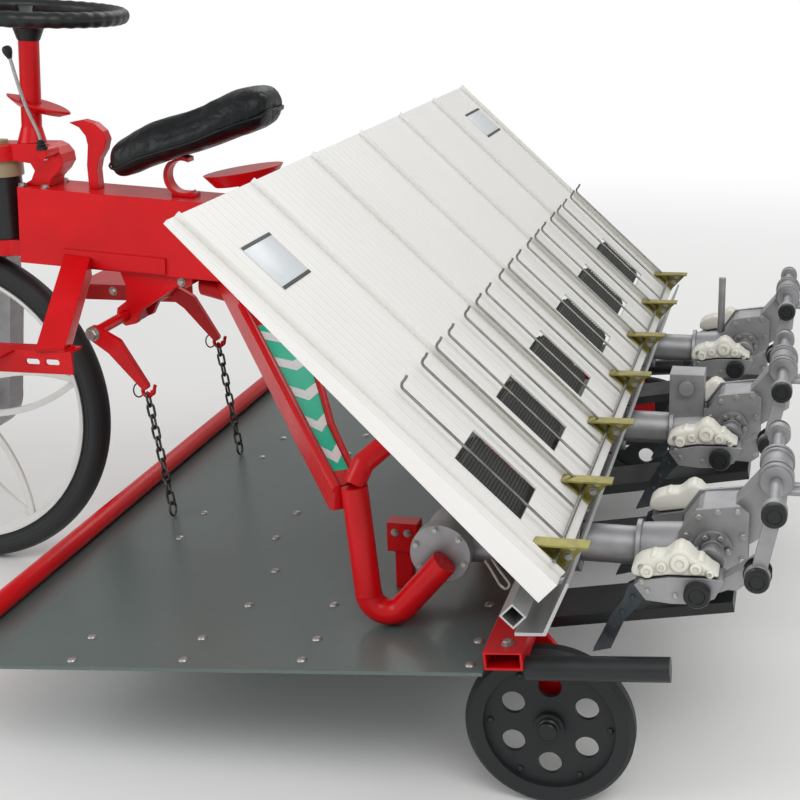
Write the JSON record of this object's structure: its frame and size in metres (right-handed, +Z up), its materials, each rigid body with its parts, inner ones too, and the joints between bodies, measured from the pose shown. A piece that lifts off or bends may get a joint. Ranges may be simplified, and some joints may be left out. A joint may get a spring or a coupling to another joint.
{
  "type": "rice transplanter",
  "caption": "Rider's rice transplanter: one driven front wheel that steers, a flat boat, a sloping seedling table that slides sideways and planting arms behind.",
  "frame": {"origin": "on the floor, at the middle of the machine's length and width", "axes": "+X forward, +Y to the rider's left, +Z up"},
  "size_m": [2.4104, 1.888, 1.2348],
  "materials": {
    "red_paint": "gloss",
    "black_paint": "satin",
    "white_enamel": "gloss",
    "table_sheet": "satin",
    "boat_sheet": "satin",
    "cast_aluminium": "as cast",
    "extruded_aluminium": "satin",
    "zinc_plate": "yellow passivated",
    "steel_wire": "drawn",
    "dark_steel": "oiled",
    "cream_plastic": "moulded",
    "grip_plastic": "moulded",
    "seat_vinyl": "grained",
    "tyre_rubber": "matte",
    "belt_rubber": "ribbed",
    "engine_enamel": "painted"
  },
  "bodies": {
    "chassis": {"main_beam": "red_paint", "steering_base": "red_paint", "steering_column": "red_paint", "column_plate": "red_paint", "gear_lever": "steel_wire", "saddle_brackets": "red_paint", "saddle": "seat_vinyl", "step_plate": "red_paint", "footrests": "red_paint", "lift_bracket": "red_paint", "lift_levers": "red_paint", "lift_chains": "dark_steel", "drive_shaft": "red_paint", "rear_arms": "red_paint", "hoops": "red_paint", "table_rail": "extruded_aluminium", "cross_tube": "red_paint", "planting_gearbox": "cast_aluminium", "planting_cases": "cast_aluminium", "cranks": "cast_aluminium", "planting_arms": "cast_aluminium", "planting_claws": "dark_steel", "arm_covers": "cream_plastic", "rockers": "cast_aluminium", "gate_rail": "extruded_aluminium", "boat_plate": "boat_sheet", "boat_front_tube": "red_paint", "boat_tongues": "black_paint", "transport_brackets": "red_paint"},
    "table": {"table_sheet": "table_sheet", "table_beam": "extruded_aluminium", "belt_shafts": "steel_wire", "feed_belts": "belt_rubber", "press_rods": "steel_wire", "corner_brackets": "zinc_plate"},
    "head": {"head_frame": "black_paint", "drive_leg": "cast_aluminium", "engine": "engine_enamel", "fuel_tank": "red_paint", "muffler": "engine_enamel", "belt_drive": "engine_enamel"},
    "front_wheel": {"front_tyre": "tyre_rubber", "front_rim": "white_enamel"},
    "hand_wheel": {"steering_wheel": "grip_plastic"},
    "small_wheel_left": {"transport_wheel_left": "tyre_rubber"},
    "small_wheel_right": {"transport_wheel_right": "tyre_rubber"}
  },
  "joints": [
    {"name": "head_steer", "type": "hinge", "parent": "chassis", "child": "head", "pos_m": [0.492, 0, 0.8], "axis": [0, 0, 1], "range_deg": [-50, 50]},
    {"name": "front_wheel_spin", "type": "hinge", "parent": "head", "child": "front_wheel", "pos_m": [0.665, 0, 0.365], "axis": [0, 1, 0], "continuous": true},
    {"name": "hand_wheel_turn", "type": "hinge", "parent": "chassis", "child": "hand_wheel", "pos_m": [0.414, 0, 0.9453], "axis": [-0.075, 0, 0.9972], "range_deg": [-250, 250]},
    {"name": "table_slide", "type": "slide", "parent": "chassis", "child": "table", "axis": [0, 1, 0], "range_m": [-0.136, 0.136]},
    {"name": "small_wheel_left_spin", "type": "hinge", "parent": "chassis", "child": "small_wheel_left", "pos_m": [-0.793, 0.741, 0.136], "axis": [0, 1, 0], "continuous": true},
    {"name": "small_wheel_right_spin", "type": "hinge", "parent": "chassis", "child": "small_wheel_right", "pos_m": [-0.793, -0.741, 0.136], "axis": [0, 1, 0], "continuous": true}
  ],
  "couplings": [
    {"joint": "hand_wheel_turn", "follows": "head_steer", "ratio": 5}
  ]
}
